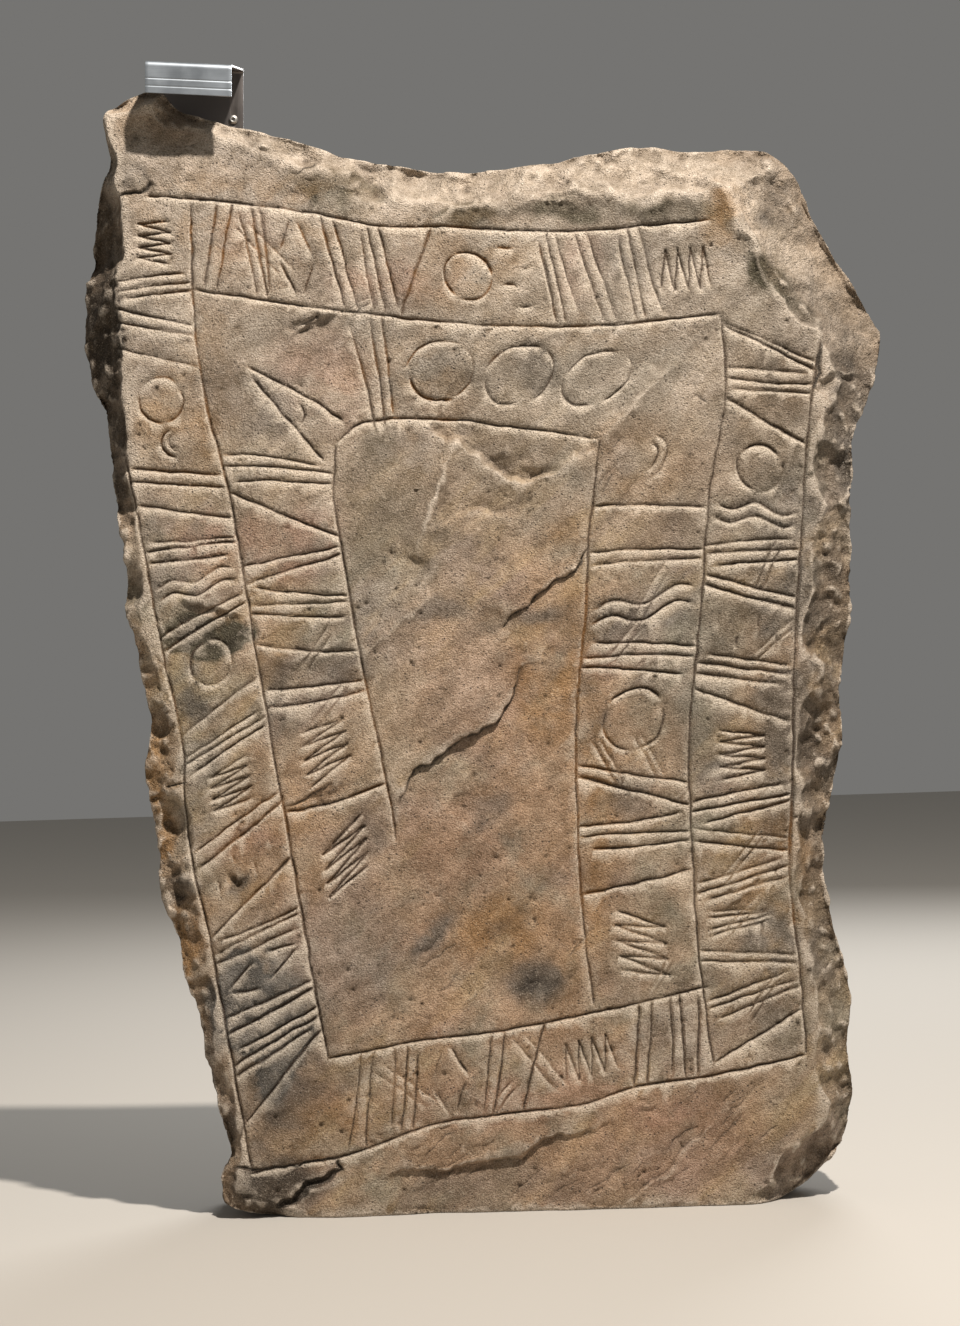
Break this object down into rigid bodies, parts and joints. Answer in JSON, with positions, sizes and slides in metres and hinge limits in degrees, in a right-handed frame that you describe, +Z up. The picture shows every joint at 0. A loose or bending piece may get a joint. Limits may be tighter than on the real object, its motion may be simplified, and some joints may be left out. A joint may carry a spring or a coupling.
{
  "type": "stone stele",
  "caption": "Upright slab of sandstone with a broken edge, framed rows of incised strokes round a bare panel, and a bent steel hook at its top corner.",
  "frame": {"origin": "middle of the flat underside, which the slab stands on", "axes": "+Z up the slab, -Y out of the carved face towards the viewer, +X to the viewer's right"},
  "size_m": [0.867, 0.1608, 1.2652],
  "materials": {
    "sandstone": "worn, grainy, with brown and grey stains",
    "steel": "satin sheet with plain bent edges"
  },
  "bodies": {
    "root": {"stele": "sandstone", "wall_hook": "steel", "bolt_right": "steel", "bolt_left": "steel"}
  },
  "joints": []
}
